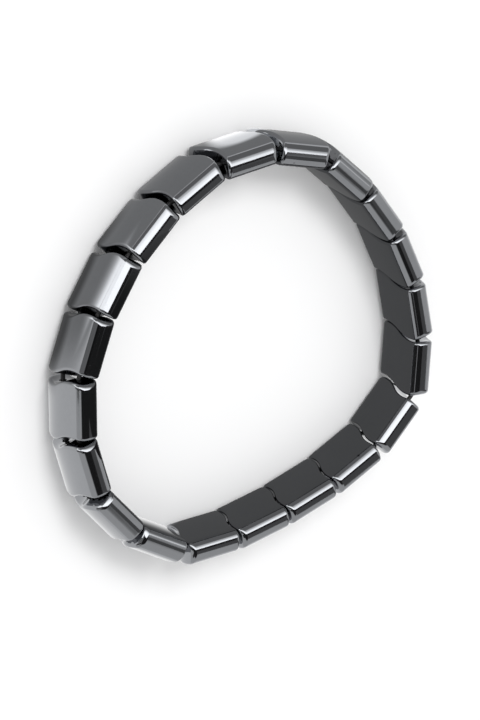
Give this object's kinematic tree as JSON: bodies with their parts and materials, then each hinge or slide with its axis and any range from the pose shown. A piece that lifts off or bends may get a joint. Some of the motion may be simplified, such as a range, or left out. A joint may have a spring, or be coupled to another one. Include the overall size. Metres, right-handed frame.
{
  "type": "stretch bracelet",
  "caption": "Stretch bracelet of square polished dark stone tiles with arched outer faces and waved ends that nest, strung on elastic cord and lying on its side.",
  "frame": {"origin": "middle of the bracelet's box at the lower side of the tiles, on the surface that it lies on", "axes": "+Z along the axis of the loop, up from the lower side of the tiles to the upper side; -Y is the side with bead_17's outer face, which is nearest in the picture; the beads are numbered clockwise as seen from above, and +X is to the right of bead_17 as seen from -Y"},
  "size_m": [0.0696, 0.0674, 0.0098],
  "materials": {
    "hematite": "polished to a dark metallic mirror, with a few tiny pits",
    "elastic": "matt black elastic cord"
  },
  "bodies": {
    "root": {"bead_01": "hematite", "bead_02": "hematite", "bead_03": "hematite", "bead_04": "hematite", "bead_05": "hematite", "bead_06": "hematite", "bead_07": "hematite", "bead_08": "hematite", "bead_09": "hematite", "bead_10": "hematite", "bead_11": "hematite", "bead_12": "hematite", "bead_13": "hematite", "bead_14": "hematite", "bead_15": "hematite", "bead_16": "hematite", "bead_17": "hematite", "bead_18": "hematite", "bead_19": "hematite", "bead_20": "hematite", "elastic_upper": "elastic", "elastic_lower": "elastic"}
  },
  "joints": []
}
